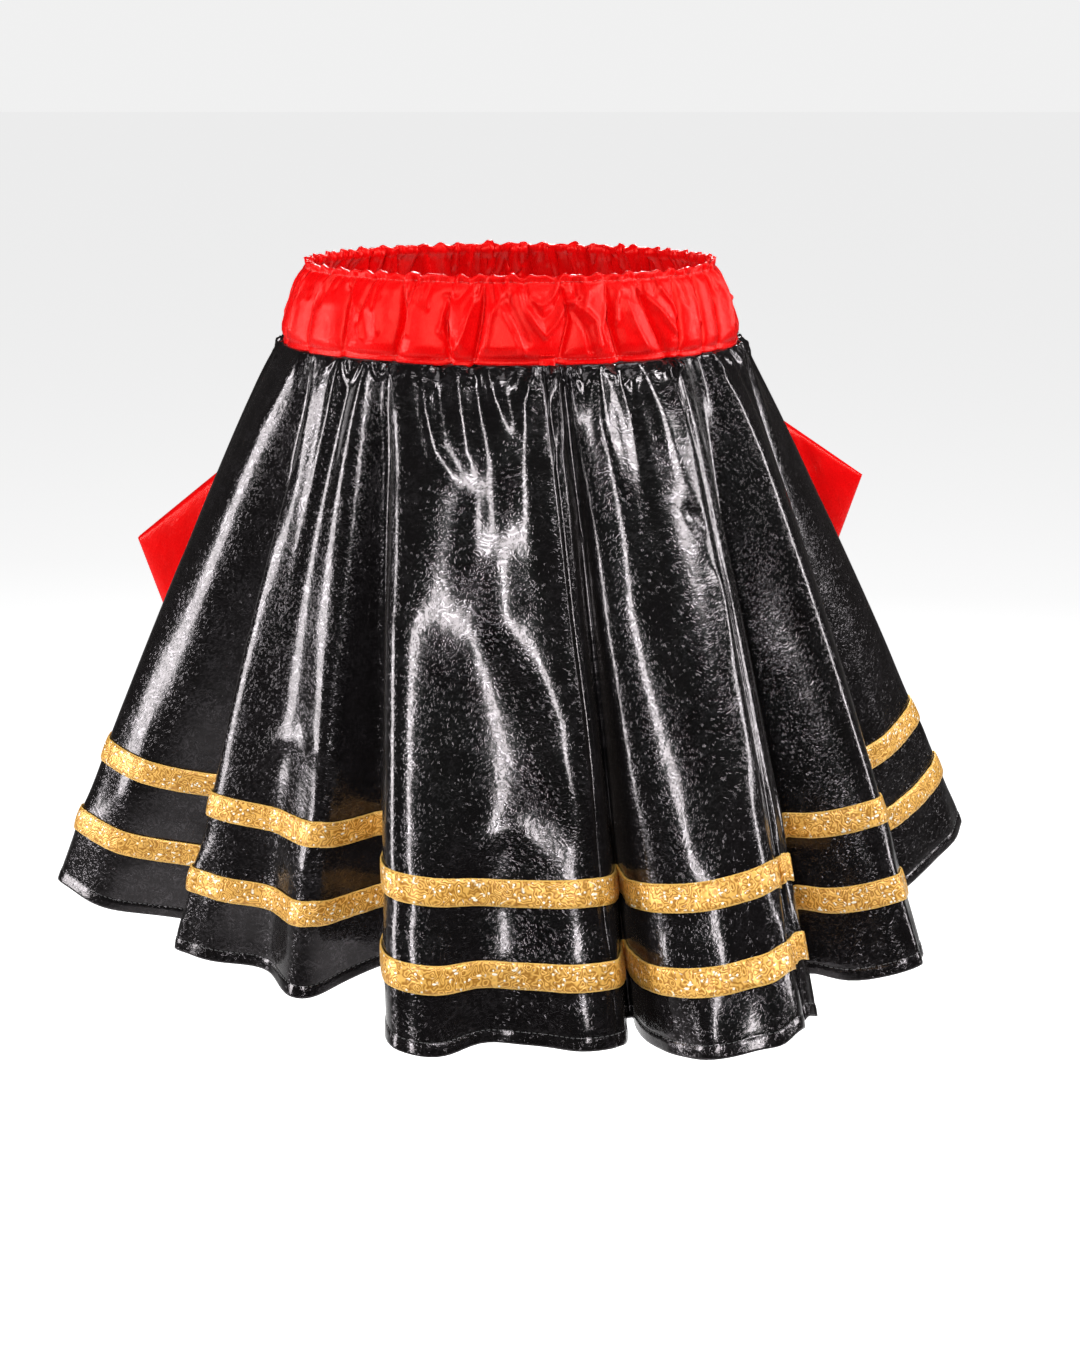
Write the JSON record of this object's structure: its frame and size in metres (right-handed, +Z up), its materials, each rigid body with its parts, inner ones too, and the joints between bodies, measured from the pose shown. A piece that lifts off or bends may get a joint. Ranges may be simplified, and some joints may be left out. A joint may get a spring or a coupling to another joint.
{
  "type": "worn gathered circle skirt",
  "caption": "Short flared skirt of glossy black foil cloth, hanging as worn, with a gathered red satin waistband, two gold glitter ribbons near the hem and a red satin bow behind",
  "frame": {"origin": "centre of the waistband at half its height, on the wearer's axis", "axes": "+Z up along the wearer's axis, -Y the front of the skirt, +X the wearer's left"},
  "size_m": [0.6319, 0.5758, 0.4344],
  "materials": {
    "red_satin": "smooth polyester satin, soft gloss",
    "black_foil_cloth": "wet-look foil on knit, glossy with a fine crinkle",
    "gold_glitter_ribbon": "glitter ribbon, 16 mm wide"
  },
  "bodies": {
    "root": {"waistband": "red_satin", "skirt_left": "black_foil_cloth", "skirt_right": "black_foil_cloth", "ribbon_upper": "gold_glitter_ribbon", "ribbon_lower": "gold_glitter_ribbon", "bow_loop_left": "red_satin", "bow_loop_right": "red_satin", "bow_knot": "red_satin"}
  },
  "joints": []
}
